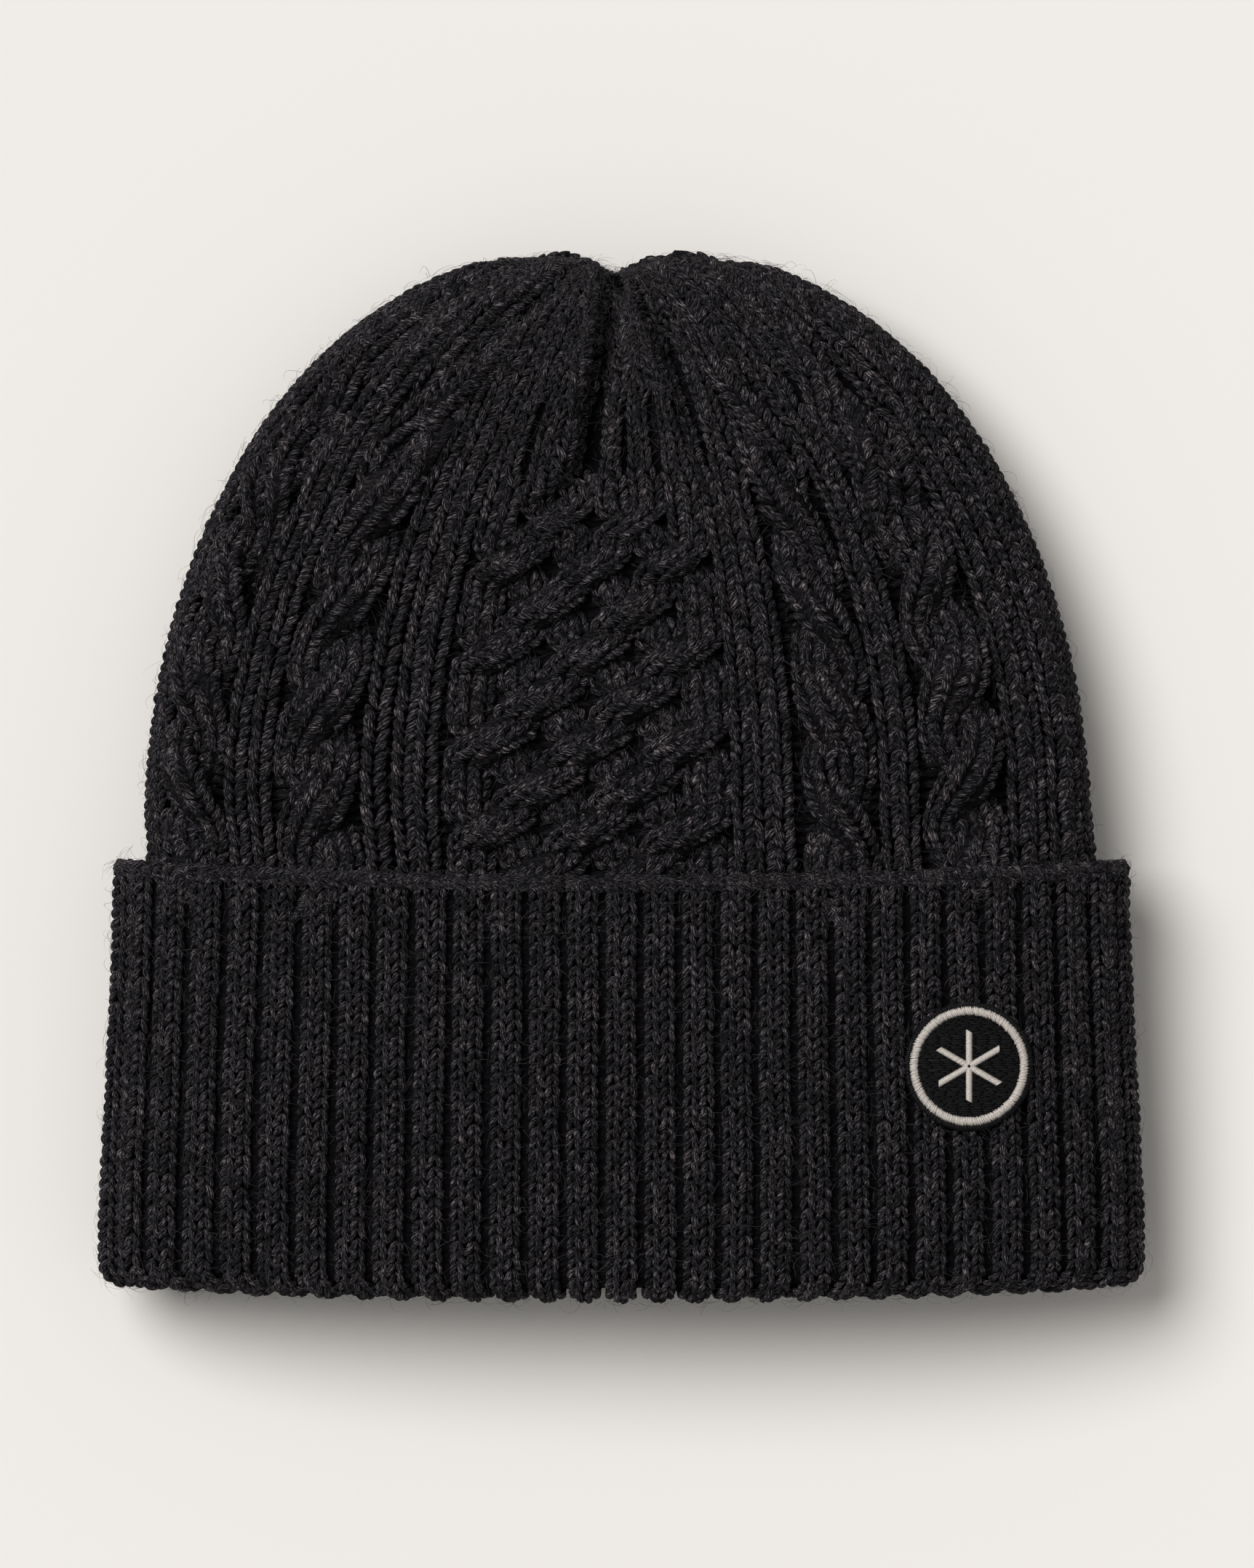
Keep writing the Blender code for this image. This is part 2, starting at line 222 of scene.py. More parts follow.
# Where the fabric folds in at the gathered top: places (x, y), then depth, width and raised rim, in mm
FOLDS = (
    (((-1.5, 106), (-3, 91), (-5.5, 79), (-6.5, 69), (-10.5, 61.5), (-19.5, 55)), 5.8, 2.6, 3.0),
    (((3.5, 103), (8, 97), (12, 85), (15.5, 74), (18.5, 68), (22, 64)), 4.6, 2.8, 2.2),
    (((-67, 69), (-54.6, 85.7), (-37.5, 102.8), (-22, 108)), 2.6, 3.2, 1.6),
    (((-48, 66), (-41.3, 78.2), (-26.3, 95.3), (-12, 106)), 2.2, 2.8, 1.6),
    (((58, 56), (56.7, 65.1), (54.9, 80.2), (43, 94)), 2.4, 3.0, 1.2),
    (((44, 50), (41, 58), (31.3, 72.5), (24, 84)), 2.4, 3.6, 1.2),
)


def make_crown_sheet():
    rings, heights = [], []
    for y in np.linspace(CUFF_TOP_Y - TUCK, CUFF_TOP_Y, TUCK_ROWS, endpoint=False):
        rings.append(cuff_ring(y, IN_CUFF))
        heights.append(0.0)
    for angle in np.linspace(0.0, 1.0, CROWN_ROWS) ** 1.1 * LAST_ANGLE:
        y, half, low, high = crown_station(angle)
        height = (y - CUFF_TOP_Y) / CROWN_LENGTH
        rings.append(oval_ring(y, half, low, high, gathered(AROUND, GATHER * height ** 3)))
        heights.append(height)
    widest = rings[-1]
    middle = widest.mean(axis=0)
    for share in PUCKER:
        ring = middle + (widest - middle) * share
        ring[:, 1] -= PUCKER_DEPTH * (1 - share)
        rings.append(ring)
        heights.append(heights[-1])
    sheet = Sheet(rings, 1.0)
    sheet.heights = np.array(heights)
    sheet.points[:, :, 0] += CROWN_SHIFT * smooth_step(sheet.heights * 8)[:, None]
    notch = NOTCH * np.exp(-((sheet.points[:, :, 0] - CROWN_SHIFT) / NOTCH_WIDTH) ** 2)
    sheet.points[:, :, 1] -= notch * smooth_step((sheet.heights - 0.78) / 0.2)[:, None]
    for crease, depth, width, rim in FOLDS:
        fold_in(sheet, crease, depth * MM, width * MM, rim * MM)
    sheet.find_normals()
    return sheet


def fold_in(sheet, crease, depth, width, rim):
    """Presses a valley into the sheet's front along a line, with a raised rim on the line's left."""
    line = np.array(crease) * MM
    flat = sheet.points[:, :, :2].reshape(-1, 2)
    nearest = np.full(len(flat), 1.0)
    side = np.ones(len(flat))
    fade = np.ones(len(flat))
    reached = travelled(line) / travelled(line)[-1]
    for index, (start, end) in enumerate(zip(line[:-1], line[1:])):
        step = end - start
        share = np.clip(((flat - start) @ step) / (step @ step), 0, 1)
        away = flat - (start + share[:, None] * step)
        distance = np.hypot(away[:, 0], away[:, 1])
        closer = distance < nearest
        nearest = np.where(closer, distance, nearest)
        turned = step[0] * away[:, 1] - step[1] * away[:, 0]
        side = np.where(closer, np.sign(turned), side)
        place = reached[index] + share * (reached[index + 1] - reached[index])
        fade = np.where(closer, np.sin(np.pi * np.clip(0.12 + 0.86 * place, 0, 1)) ** 0.5, fade)
    valley = -depth * np.exp(-(nearest / width) ** 2)
    crest = rim * np.exp(-((nearest * side + width * 1.3) / (width * 1.1)) ** 2)
    shift = ((valley + crest) * fade).reshape(sheet.points.shape[:2])
    front = sheet.normals[:, :, 2] > 0.1
    sheet.points += sheet.normals * (shift * front)[..., None]


# ---- yarn

PIECE_QUADS = 90000
SOFT_DEPTH = 4 * MM


def pressed(z):
    """Heights with the lowest part squeezed up, as the hat's back is pressed flat on the table."""
    return np.where(z < SOFT_DEPTH, SOFT_DEPTH * np.exp((z - SOFT_DEPTH) / SOFT_DEPTH), z)


class Yarn:
    """Collects closed tubes of yarn and turns them into pieces that are not too large.

    A knitting's gutters are a second yarn, for the stitches between the wales, darkened as painted shade.
    """

    def __init__(self, name, finish, slot):
        self.name, self.finish_used, self.slot = name, finish, slot
        self.pieces = []
        self.empty()

    def empty(self):
        self.points, self.uvs, self.faces, self.start, self.quads = [], [], [], 0, 0

    def add(self, points, uvs, faces):
        """points (n, k, 3) and uvs (n, k, 2) of n equal tubes, faces (f, 4) of one of them."""
        count, size = points.shape[:2]
        shift = self.start + np.arange(count)[:, None, None] * size
        self.points.append(points.reshape(-1, 3))
        self.uvs.append(uvs.reshape(-1, 2))
        self.faces.append((faces[None] + shift).reshape(-1, 4))
        self.start += count * size
        self.quads += count * len(faces)
        if self.quads > PIECE_QUADS:
            self.finish()

    def spill(self):
        if self.quads > PIECE_QUADS * 0.85:
            self.finish()

    def stand_for(self, node):
        self.finish()
        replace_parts(self.pieces[0], node)

    def finish(self):
        if self.quads == 0:
            return
        points = np.concatenate(self.points)
        points[:, 2] = pressed(points[:, 2])
        name = "%s_%d" % (self.name, len(self.pieces) + 1)
        faces = np.concatenate(self.faces)
        uvs = np.concatenate(self.uvs)
        self.pieces.append(place_mesh(name, points, faces, self.finish_used, uvs))
        self.empty()


def knitting(name, gutters, slot):
    yarn = Yarn(name, wool, slot)
    yarn.gutters = Yarn(gutters, shaded_wool, slot)
    return yarn


def knitted(yarn):
    yarn.finish()
    yarn.gutters.finish()
    return yarn.pieces + yarn.gutters.pieces


def add_object(name, data):
    thing = bpy.data.objects.new(name, data)
    bpy.context.collection.objects.link(thing)
    return thing


def place_mesh(name, points, faces, finish, uvs=None, body="hat"):
    """A smooth mesh of quads that rides on a body."""
    mesh = bpy.data.meshes.new(name)
    mesh.vertices.add(len(points))
    mesh.vertices.foreach_set("co", points.astype(np.float32).ravel())
    mesh.loops.add(faces.size)
    mesh.loops.foreach_set("vertex_index", faces.ravel().astype(np.int32))
    mesh.polygons.add(len(faces))
    mesh.polygons.foreach_set("loop_start", np.arange(0, faces.size, 4, dtype=np.int32))
    mesh.polygons.foreach_set("use_smooth", np.ones(len(faces), dtype=bool))
    mesh.update(calc_edges=True)
    if uvs is not None:
        layer = mesh.uv_layers.new(name="Yarn")
        layer.data.foreach_set("uv", uvs[faces.ravel()].astype(np.float32).ravel())
    mesh.materials.append(finish)
    thing = add_object(name, mesh)
    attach(thing, body)
    return thing


def loft_faces(rings, sides, loop=False):
    """Quads over rings of points. The ends are closed straight across, or the last ring meets the first."""
    at = np.arange(rings * sides).reshape(rings, sides)
    beside = np.roll(at, -1, axis=1)
    walls = np.stack([at, beside, np.roll(beside, -1, axis=0), np.roll(at, -1, axis=0)], -1)
    if loop:
        return walls.reshape(-1, 4)
    step = np.arange(sides // 2 - 1)
    cap = np.stack([step, step + 1, sides - 2 - step, sides - 1 - step], -1)
    return np.concatenate([walls[:-1].reshape(-1, 4), cap[:, ::-1], cap + (rings - 1) * sides])


def sweep(yarn, spine, normals, thick, u, wraps, spread, sides=6, flattening=1.0):
    """Adds tubes along spines (n, k, 3), thick (n, k). Each reads its texture from its own random place."""
    count, rings = spine.shape[:2]
    direction = unit(np.gradient(spine, axis=1))
    flat = unit(np.cross(direction, normals))
    up = np.cross(flat, direction)
    turn = np.linspace(0, 2 * math.pi, sides, endpoint=False)
    ring = np.cos(turn)[:, None] * flat[:, :, None] + np.sin(turn)[:, None] * up[:, :, None] * flattening
    points = spine[:, :, None] + ring * thick[:, :, None, None]
    u = u[..., None] + rng.uniform(0, spread, (count, 1, 1))
    v = turn / (2 * math.pi) * wraps + rng.uniform(0, spread, (count, 1, 1))
    uvs = np.stack(np.broadcast_arrays(u, v), -1)
    yarn.add(points.reshape(count, -1, 3), uvs.reshape(count, -1, 2), loft_faces(rings, sides))


class Path:
    """A wale's line: points, tangents, sides and normals by length along it.

    roll turns the wale about its line, so that it tilts towards its own side.
    """

    def __init__(self, points, normals, width, roll=0.0):
        self.points = points
        self.length = travelled(points)
        tangents = unit(np.gradient(points, axis=0))
        sides = unit(np.cross(tangents, np.broadcast_to(normals, points.shape)))
        normals = unit(np.cross(sides, tangents))
        angle = np.broadcast_to(roll, self.length.shape)[:, None]
        self.sides = sides * np.cos(angle) - normals * np.sin(angle)
        self.normals = normals * np.cos(angle) + sides * np.sin(angle)
        self.width = np.broadcast_to(width, self.length.shape)

    def read(self, where, what):
        flat = where.ravel()
        if what.ndim == 1:
            return np.interp(flat, self.length, what).reshape(where.shape)
        parts = [np.interp(flat, self.length, what[:, axis]) for axis in range(3)]
        return np.stack(parts, -1).reshape(*where.shape, 3)


def path_on(sheet, along, around, lift, width, roll=0.0):
    """A path over a sheet; around, lift, width and roll are numbers or have one value a row."""
    points, normals = sheet.places(along, np.broadcast_to(around, along.shape))
    return Path(points + normals * np.broadcast_to(lift, along.shape)[:, None], normals, width, roll)


def leg_shape(rings):
    """One leg of a knit stitch: a plump strand that leaves the foot of the V and sinks at both ends."""
    place = np.linspace(0, 1, rings)
    across = 0.03 + 0.42 * place ** 0.8
    along = -0.22 + 1.36 * place
    depth = -(np.abs(2 * place - 0.95) ** 2.0) * 1.4
    plump = np.sin(math.pi * (0.11 + 0.78 * place)) ** 0.8
    return place, across, along, depth, plump


def bump_shape(rings):
    """One purl stitch: a short strand across the wale, bowed, sinking at both ends."""
    place = np.linspace(0, 1, rings)
    across = 1.3 * (place - 0.5)
    along = 0.5 + 0.28 * np.sin(math.pi * place)
    depth = -(np.abs(2 * place - 1) ** 2.0) * 1.2
    plump = np.sin(math.pi * (0.12 + 0.76 * place)) ** 0.6
    return place, across, along, depth, plump


def lay_stitches(yarn, path, shape, hands, row=ROW, radius=YARN):
    """Lays one strand of that shape per row and hand along the path, each a little different."""
    count = int(round(path.length[-1] / row))
    if count < 1:
        return
    place, across, along, depth, plump = shape
    stretch = path.length[-1] / count
    starts = np.arange(count) * stretch
    starts = starts + rng.normal(0, 0.05 * row, count)
    for hand in hands:
        width = path.read(starts, path.width)
        thick = radius * np.clip(width / WALE, 0.62, 1.25) * (1 + rng.normal(0, 0.07, count))
        wobble = rng.normal(0, 0.03, (count, 1))
        where = starts[:, None] + along[None] * stretch * (1 + rng.normal(0, 0.04, (count, 1)))
        aside = hand * (across[None] + wobble) * width[:, None]
        height = (depth[None] + rng.normal(0, 0.10, (count, 1))) * thick[:, None]
        normal = path.read(where, path.normals)
        spine = (path.read(where, path.points) + path.read(where, path.sides) * aside[..., None]
                 + normal * height[..., None])
        sweep(yarn, spine, normal, thick[:, None] * plump, place * 4.0, 5.0, 400, flattening=0.9)


def lay_core(yarn, path, half_height, sides=8):
    """The inside of a cable: a flattened tube as wide as the path, under its stitches."""
    turn = np.linspace(0, 2 * math.pi, sides, endpoint=False)
    count = len(path.points)
    taper = np.minimum(1, np.minimum(np.arange(count), np.arange(count)[::-1]) / 3 + 0.05)
    wide = (path.width / 2 * taper)[:, None, None] * path.sides[:, None] * np.cos(turn)[:, None]
    high = (half_height * taper)[:, None, None] * path.normals[:, None] * np.sin(turn)[:, None]
    points = path.points[:, None] + wide + high
    uvs = np.stack(np.broadcast_arrays(path.length[:, None] / MM, turn), -1)
    yarn.add(points.reshape(1, -1, 3), uvs.reshape(1, -1, 2), loft_faces(count, sides))


LEG = leg_shape(8)
BUMP = bump_shape(6)
BOTH_HANDS = (-1, 1)


# ---- the crown's pattern

# Across the crown's front at the cuff line, from x to x in mm: knit and purl wales, or a cable with its lean
# and its first crossing in mm
CROWN_GROUPS = (
    (-96.0, -83.2, "rope", -1, 16.5),
    (-83.2, -72.1, "pkpkp", 0, 0),
    (-72.1, -54.4, "rope", 1, 12.9),
    (-54.4, -36.5, "pkpkkp", 0, 0),
    (-36.5, 24.0, "lattice", 1, 9.0),
    (24.0, 38.6, "kkkpp", 0, 0),
    (38.6, 54.1, "rope", -1, 11.6),
    (54.1, 64.1, "pkkp", 0, 0),
    (64.1, 81.2, "rope", 1, 19.0),
    (81.2, 99.0, "pkkpkkp", 0, 0),
)
PURL_SHARE = 0.2  # width of a purl wale next to a knit one
NARROWEST = 3.4 * MM  # a wale is decreased away when there is less width than this for each
ROPE_REPEAT = 21.7 * MM
ROPE_CROSSING = 9.4 * MM  # half the length of one crossing
LATTICE_REPEAT = 9.5 * MM
LATTICE_CROSSING = 3.9 * MM
LATTICE_END = (44 * MM, 60 * MM)  # the lattice fades out between these two heights
ROPE_END = (66 * MM, 92 * MM)
CORE_DEPTH, CORE_HALF_HEIGHT = 2.4 * MM, 1.7 * MM
CORE_WIDTH = 0.76  # next to the strand's own width


def around_of(x):
    """Place around the hat of a place across the crown's front at the cuff line."""
    _, half_width, low, high = crown_station(0.0)
    xs, _, length = oval(half_width, low, high, np.linspace(-np.pi / 2, np.pi / 2, 2001))
    return float(np.interp(x * MM, xs, length) / length[-1] - 0.5)


def activities(weights, order, allowed):
    """How much is left of each wale where there is room for so many; `order` has the first to go."""
    left = sum(weights)
    kept = [np.ones_like(allowed) for _ in weights]
    for index in order:
        left = left - weights[index]
        kept[index] = smooth_step((allowed - left) / weights[index])
    return [weight * share for weight, share in zip(weights, kept)]


class Crown:
    """Lays the crown's wales, on the front or mirrored on the back."""

    def __init__(self, sheet):
        self.sheet = sheet
        self.rows = np.arange(1.0, sheet.count_along - 3.0)
        self.heights = np.interp(self.rows, np.arange(sheet.count_along), sheet.heights)
        self.y = CUFF_TOP_Y + self.heights * CROWN_LENGTH
        length = travelled(sheet.at(self.rows, np.full_like(self.rows, 1.0), sheet.points))
        self.travel = length - np.interp(TUCK_ROWS, self.rows, length)  # from the cuff line, up the back

    def fabric(self, around, step):
        """Metres of fabric for each step around, at every row."""
        around = np.broadcast_to(around, self.rows.shape)
        left = self.sheet.at(self.rows, around - step, self.sheet.points)
        right = self.sheet.at(self.rows, around + step, self.sheet.points)
        return np.linalg.norm(right - left, axis=1) / (2 * step)

    def width_between(self, start, end):
        return self.fabric((start + end) / 2, 0.003) * abs(end - start)

    def path(self, around, lift, share, roll, activity, least):
        """A path up to where too little is left of the wale. share is its part of the way around."""
        short = activity <= least
        stop = int(np.argmax(short)) if short.any() else len(short)
        width = self.fabric(around, 0.004) * np.abs(share)
        around, lift, roll = (np.broadcast_to(value, width.shape)[:stop] for value in (around, lift, roll))
        return path_on(self.sheet, self.rows[:stop], around, lift, width[:stop], roll) if stop > 7 else None

    def wale(self, yarn, around, lift, share, activity, roll=0.0, purl=False):
        path = self.path(around, lift, share, roll, activity, 0.18)
        # Purl stitches take the gutters' yarn, darkened as painted shade
        if path and purl:
            lay_stitches(yarn.gutters, path, BUMP, (1,), radius=YARN * 0.9)
        elif path:
            lay_stitches(yarn, path, LEG, BOTH_HANDS)

    def backing(self, yarn, start, end, columns, lift, activity):
        """The purl wales that show between the strands of a cable."""
        for column in range(columns):
            around = start + (end - start) * (column + 0.5) / columns
            self.wale(yarn, around, lift, (end - start) / columns, activity, purl=True)

    def core(self, yarn, around, lift, share, activity):
        """Fills a cable's strand under its wales, as far up as the cable is raised, with the gutters' yarn
        darkened as painted shade.
        """
        path = self.path(around, lift - CORE_DEPTH, share * CORE_WIDTH, 0.0, activity, 0.3)
        if path:
            lay_core(yarn.gutters, path, CORE_HALF_HEIGHT)

    def plain(self, yarn, start, end, kinds, mirror):
        weights = [1.0 if kind == "k" else PURL_SHARE for kind in kinds]
        purls = [i for i, kind in enumerate(kinds) if kind == "p"]
        knits = [i for i, kind in enumerate(kinds) if kind == "k"]
        width = self.width_between(start, end)
        span = end - start
        active = activities(weights, purls + knits[::2] + knits[1::2], width / NARROWEST)
        total = np.maximum(sum(active), 1e-6)
        low_down = 1 - smooth_step((self.y - 30 * MM) / (40 * MM))
        reached = np.zeros_like(total)
        for index, kind in enumerate(kinds):
            around = start + span * (reached + active[index] / 2) / total
            reached = reached + active[index]
            room = span * active[index] / total
            if kind == "p":
                self.wale(yarn, around, -3.5 * MM, room * 3, active[index] / PURL_SHARE, purl=True)
                continue
            beside_left = index == 0 or kinds[index - 1] == "p"
            beside_right = index == len(kinds) - 1 or kinds[index + 1] == "p"
            tilt = math.radians(17) * (int(beside_right) - int(beside_left)) * mirror * low_down
            self.wale(yarn, around, -1.15 * MM, room * 1.12, active[index], tilt)

    def rope(self, yarn, start, end, lean, first, mirror):
        """Two strands of three wales that cross. lean is the way the first crossing goes."""
        width = self.width_between(start, end)
        span = end - start
        flat = activities([1.0] * 6, (0, 5, 2, 3, 1, 4), width * 1.08 / NARROWEST)
        total = np.maximum(sum(flat), 1e-6)
        phase = (self.travel - first * MM) / ROPE_REPEAT
        nearest = np.round(phase)
        off = (phase - nearest) * ROPE_REPEAT
        straight = np.clip((off + ROPE_CROSSING) / (2 * ROPE_CROSSING), 0, 1)
        moved = 0.6 * straight + 0.4 * smooth_step(straight)
        over = np.where(nearest % 2 == 0, 1.0, -1.0)
        near = np.cos(np.clip(off / ROPE_CROSSING, -1, 1) * math.pi / 2) ** 1.3
        strength = 0.12 + 0.88 * (1 - smooth_step((self.y - ROPE_END[0]) / (ROPE_END[1] - ROPE_END[0])))
        self.backing(yarn, start, end, 4, -3.9 * MM, strength)
        for hand, mine in ((1.0, flat[:3]), (-1.0, flat[3:])):
            place = hand * over * (2 * moved - 1)  # -1 left, 1 right
            height = hand * over * near * strength
            size = sum(mine)
            centre = (1 - place) / 2 * (size / 2 / total) + (1 + place) / 2 * (1 - size / 2 / total)
            squeeze = 1.05 + (0.28 * near + 0.20 * hand * over * near) * strength
            raised = np.where(height > 0, 3.5, 2.7) * height + (0.8 * place - 0.5) * strength
            spine = start + span * (centre if lean > 0 else 1 - centre)
            self.core(yarn, spine, (0.2 + raised) * MM, span * size / total * squeeze, strength)
            for index in range(3):
                share = centre + (sum(mine[:index]) + mine[index] / 2 - size / 2) / total * squeeze
                around = start + span * (share if lean > 0 else 1 - share)
                room = span * mine[index] / total * squeeze * 1.36
                side = (index - 1) * lean
                dome = -abs(side) * (0.7 + 0.7 * near) * MM * strength
                lift = (0.2 + raised - 1.1 * (1 - strength)) * MM + dome
                roll = side * math.radians(30) * (0.3 + 0.7 * strength) * mirror
                self.wale(yarn, around, lift, room, mine[index], roll)

    def lattice(self, yarn, start, end, first, mirror):
        """Six strands of three wales, crossed in turn with the one on their left and on their right."""
        width = self.width_between(start, end)
        span = end - start
        per_strand = activities([1.0] * 3, (2, 0, 1), width / 6 * 1.03 / NARROWEST)
        size = np.maximum(sum(per_strand), 1e-6)
        strength = 1 - smooth_step((self.y - LATTICE_END[0]) / (LATTICE_END[1] - LATTICE_END[0]))
        last = int((LATTICE_END[1] - CUFF_TOP_Y - first * MM) / LATTICE_REPEAT)
        place = [np.full_like(width, float(slot)) for slot in range(6)]
        height = [np.zeros_like(width) for _ in range(6)]
        order = list(range(6))  # which strand is in each slot
        for level in range(-2, last + 1):
            for slot in range(level % 2, 5, 2):
                rising, falling = order[slot], order[slot + 1]
                late = rng.normal(0, 0.5) * MM
                off = self.travel - first * MM - level * LATTICE_REPEAT - late
                moved = smooth_step((off + LATTICE_CROSSING) / (2 * LATTICE_CROSSING))
                near = np.cos(np.clip(off / (LATTICE_CROSSING * 1.35), -1, 1) * math.pi / 2) ** 2
                near = near * rng.uniform(0.8, 1.2)
                place[rising] = place[rising] + moved
                place[falling] = place[falling] - moved
                height[rising] = height[rising] + near
                height[falling] = height[falling] - near
                order[slot], order[slot + 1] = falling, rising
        self.backing(yarn, start, end, 6, -4.1 * MM, strength)
        for strand in range(6):
            squeeze = 1 + (0.02 + 0.06 * height[strand]) * strength
            raised = (np.where(height[strand] > 0, 3.2, 1.0) * height[strand] - 0.8) * strength
            spine = start + span * (place[strand] + 0.5) / 6
            self.core(yarn, spine, (-1.0 + raised) * MM, span / 6 * squeeze, strength)
            for index in range(3):
                offset = (sum(per_strand[:index]) + per_strand[index] / 2 - size / 2) / size * squeeze
                around = start + span * (place[strand] + 0.5 + offset) / 6
                room = span / 6 * per_strand[index] / size * squeeze * (1.14 + 0.14 * strength)
                side = index - 1
                lift = (-1.0 + raised - abs(side) * 0.6 * strength) * MM
                roll = side * math.radians(32) * strength * mirror
                self.wale(yarn, around, lift, room, per_strand[index], roll)


def lay_crown(sheet, yarn, back):
    """All the wales of one side. The back mirrors the front about the hat's middle plane."""
    crown = Crown(sheet)
    mirror = -1 if back else 1

    def around(x):
        place = around_of(x)
        return (1.0 if place > 0 else -1.0) - place if back else place

    for start, end, kind, lean, first in CROWN_GROUPS:
        a, b = around(start), around(end)
        if back and start * end < 0:  # over the back's middle, where places jump between 1 and -1
            b = b - 2.0 if b > a else b + 2.0
        if kind == "rope":
            crown.rope(yarn, a, b, lean, first, mirror)
        elif kind == "lattice":
            crown.lattice(yarn, a, b, first, mirror)
        else:
            crown.plain(yarn, a, b, kind, mirror)
    for start, side, kinds in ((-96.0, -1, "kkkk"), (99.0, 1, "kk")):
        crown.plain(yarn, around(start), 0.5 * side, kinds, mirror * side)
        yarn.spill()


# ---- materials

CHARCOAL_DARK = (0.0016, 0.0014, 0.0020)
CHARCOAL = (0.0098, 0.0087, 0.0113)
CHARCOAL_FLECK = (0.21, 0.198, 0.208)
# The gutters' colours are the charcoal wool darkened as painted shade, for purl stitches and cable cores
# that lie in shade
SHADED, SHADED_FLECK = (0.006, 0.0054, 0.0066), (0.03, 0.028, 0.03)
PATCH_TINTS = ((0.30, (0.74, 0.74, 0.80)), (0.50, (1.0, 0.98, 1.0)), (0.68, (1.3, 1.25, 1.18)))
STRAND_TINTS = ((0.30, (0.5, 0.5, 0.5)), (0.50, (1, 1, 1)), (0.70, (1.85, 1.8, 1.76)))


def ramp_of(tree, source, stops):
    ramp = tree.nodes.new("ShaderNodeValToRGB")
    elements = ramp.color_ramp.elements
    while len(elements) < len(stops):
        elements.new(0.5)
    for element, (place, colour) in zip(elements, stops):
        element.position = place
        element.color = (*colour, 1)
    tree.links.new(source, ramp.inputs[0])
    return ramp.outputs[0]


def noise_of(tree, vector, scale, detail=4.0, roughness=0.6, dimensions="3D"):
    noise = tree.nodes.new("ShaderNodeTexNoise")
    noise.noise_dimensions = dimensions
    noise.inputs["Scale"].default_value = scale
    noise.inputs["Detail"].default_value = detail
    noise.inputs["Roughness"].default_value = roughness
    tree.links.new(vector, noise.inputs["Vector"])
    return noise.outputs[0]


def mixed(tree, kind, factor, first, second):
    mix = tree.nodes.new("ShaderNodeMix")
    mix.data_type = "RGBA"
    mix.blend_type = kind
    mix.inputs["Factor"].default_value = factor
    tree.links.new(first, mix.inputs["A"])
    tree.links.new(second, mix.inputs["B"])
    return mix.outputs["Result"]


def mapped(tree, vector, rotation=(0, 0, 0), scale=(1, 1, 1)):
    turned = tree.nodes.new("ShaderNodeMapping")
    turned.inputs["Rotation"].default_value = rotation
    turned.inputs["Scale"].default_value = scale
    tree.links.new(vector, turned.inputs[0])
    return turned.outputs[0]


def yarn_place(tree):
    uv = tree.nodes.new("ShaderNodeUVMap")
    uv.uv_map = "Yarn"
    return uv.outputs[0]


def object_place(tree):
    return tree.nodes.new("ShaderNodeTexCoord").outputs["Object"]


def start_material(name, settings):
    """A new material and its nodes, with values for the shader's own sockets."""
    made = bpy.data.materials.new(name)
    made.use_nodes = True
    for socket, value in settings.items():
        made.node_tree.nodes["Principled BSDF"].inputs[socket].default_value = value
    return made, made.node_tree


def link_surface(tree, colour, height, strength, distance):
    """Gives the shader a colour and a fine relief."""
    shader = tree.nodes["Principled BSDF"]
    bump = tree.nodes.new("ShaderNodeBump")
    bump.inputs["Strength"].default_value = strength
    bump.inputs["Distance"].default_value = distance
    tree.links.new(height, bump.inputs["Height"])
    tree.links.new(bump.outputs[0], shader.inputs["Normal"])
    tree.links.new(colour, shader.inputs["Base Color"])


def yarn_material(name, middle, fleck, sheen):
    """Plied yarn: fibres streak along the strand on a slant, with lighter and darker ones among them."""
    made, tree = start_material(name, {
        "Roughness": 0.8, "Specular IOR Level": 0.08, "Sheen Weight": sheen, "Sheen Roughness": 0.35,
        "Sheen Tint": (0.2, 0.19, 0.21, 1)})
    along_yarn = yarn_place(tree)
    slanted = mapped(tree, mapped(tree, along_yarn, rotation=(0, 0, 0.42)), scale=(0.55, 2.5, 1))
    fibres = noise_of(tree, slanted, 1.5, 5.0, 0.72, "2D")
    coat = ramp_of(tree, fibres, ((0.38, CHARCOAL_DARK), (0.52, middle), (0.70, fleck)))
    patches = noise_of(tree, object_place(tree), 170.0, 3.0, 0.6)
    strands = noise_of(tree, along_yarn, 0.12, 1.0, 0.5, "2D")
    for source, stops in ((patches, PATCH_TINTS), (strands, STRAND_TINTS)):
        coat = mixed(tree, "MULTIPLY", 1.0, coat, ramp_of(tree, source, stops))
    link_surface(tree, coat, fibres, 1.0, 0.0006)
    return made


def thread_material(name, dark, light, specular=0.5, roughness=0.42):
    """Smooth embroidery thread with its twist."""
    made, tree = start_material(name, {"Roughness": roughness, "Specular IOR Level": specular})
    twisted = mapped(tree, yarn_place(tree), (0, 0, 0.5), (1.0, 3.0, 1))
    fibres = noise_of(tree, twisted, 3.0, 3.0, 0.6, "2D")
    link_surface(tree, ramp_of(tree, fibres, ((0.3, dark), (0.65, light))), fibres, 0.6, 0.0001)
    return made


def plain_material(name, colour, roughness=0.85, specular=0.2, scale=900.0):
    """A matt finish with a fine grain."""
    made, tree = start_material(name, {"Roughness": roughness, "Specular IOR Level": specular})
    grain = noise_of(tree, object_place(tree), scale, 3.0, 0.6)
    lighter = tuple(min(1.0, channel * 1.35) for channel in colour)
    darker = tuple(channel * 0.7 for channel in colour)
    link_surface(tree, ramp_of(tree, grain, ((0.3, darker), (0.7, lighter))), grain, 0.5, 0.0002)
    return made


